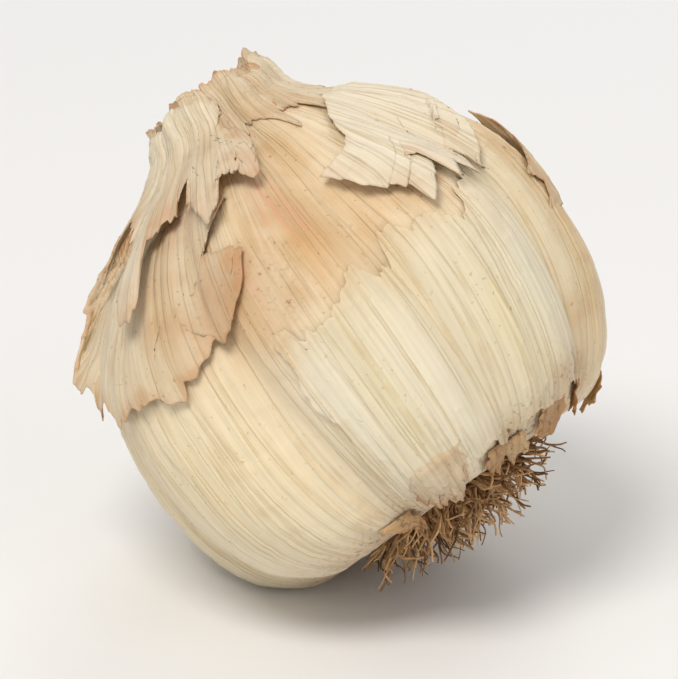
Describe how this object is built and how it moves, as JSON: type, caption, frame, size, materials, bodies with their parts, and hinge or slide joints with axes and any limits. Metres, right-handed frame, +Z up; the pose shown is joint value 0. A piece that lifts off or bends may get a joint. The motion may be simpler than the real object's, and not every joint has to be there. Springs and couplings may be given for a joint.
{
  "type": "garlic bulb",
  "caption": "Whole dry garlic bulb lying on its side: ribbed papery wrapper over the cloves, short torn neck, dry root tuft and loose flakes of outer skin.",
  "frame": {"origin": "on the surface the bulb lies on, under the middle of its bounding box", "axes": "+Z up; the root plate is at the lower +X side and the neck leans up towards -X and +Y"},
  "size_m": [0.0664, 0.0662, 0.0634],
  "materials": {
    "wrapper_skin": "dry, papery, faint sheen",
    "dry_roots": "dry and fibrous, earthy",
    "loose_skin": "thin, papery, slightly translucent"
  },
  "bodies": {
    "root": {"wrapped_bulb": "wrapper_skin", "root_tuft": "dry_roots", "loose_skin_left": "loose_skin", "loose_skin_collar": "loose_skin", "loose_skin_front": "loose_skin", "loose_skin_crown": "loose_skin", "loose_skin_heel": "loose_skin", "loose_skin_back": "loose_skin"}
  },
  "joints": []
}
